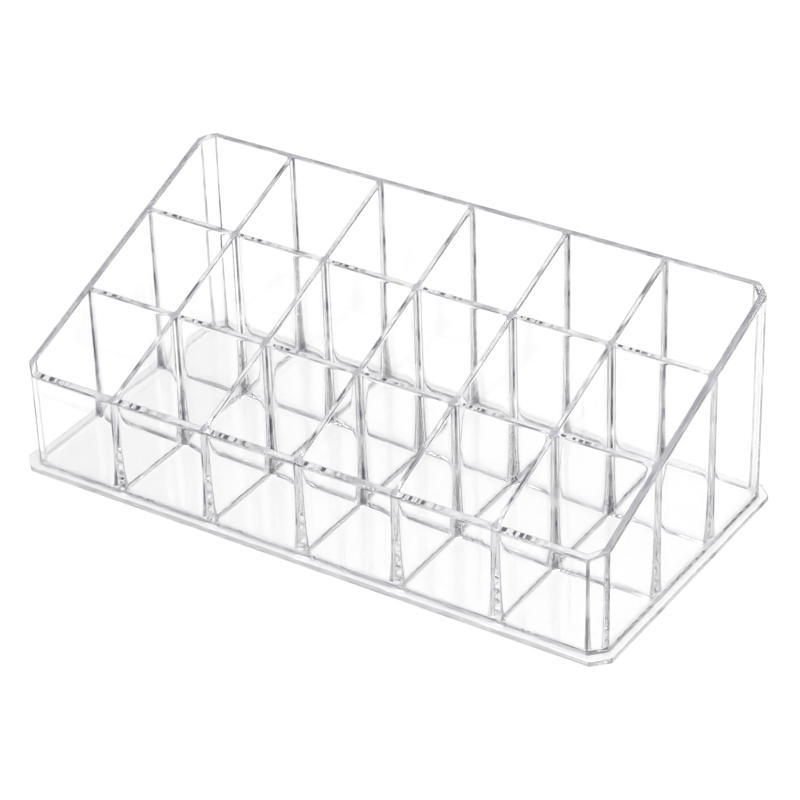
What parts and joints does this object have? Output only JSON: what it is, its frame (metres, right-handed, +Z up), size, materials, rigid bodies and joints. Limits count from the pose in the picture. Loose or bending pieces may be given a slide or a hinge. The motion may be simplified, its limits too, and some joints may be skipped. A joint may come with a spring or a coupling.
{
  "type": "vanity organizer",
  "caption": "Clear open-top desktop organizer with a grid of upright compartments, low at the front and high at the back, for lipsticks and small cosmetics.",
  "frame": {"origin": "middle of the base plate's underside, on the surface the organizer stands on", "axes": "+X along the length to the right as seen from the front, +Y from the low front to the high back, +Z up"},
  "size_m": [0.185, 0.0936, 0.0646],
  "materials": {
    "clear_base": "polished clear acrylic sheet",
    "clear_wall": "polished clear acrylic sheet",
    "clear_divider": "polished clear acrylic sheet"
  },
  "bodies": {
    "root": {"base_plate": "clear_base", "front_wall": "clear_wall", "back_wall": "clear_wall", "left_wall": "clear_wall", "right_wall": "clear_wall", "front_left_corner": "clear_wall", "front_right_corner": "clear_wall", "back_left_corner": "clear_wall", "back_right_corner": "clear_wall", "column_divider_1": "clear_divider", "column_divider_2": "clear_divider", "column_divider_3": "clear_divider", "column_divider_4": "clear_divider", "column_divider_5": "clear_divider", "row_divider_1": "clear_divider", "row_divider_2": "clear_divider"}
  },
  "joints": []
}
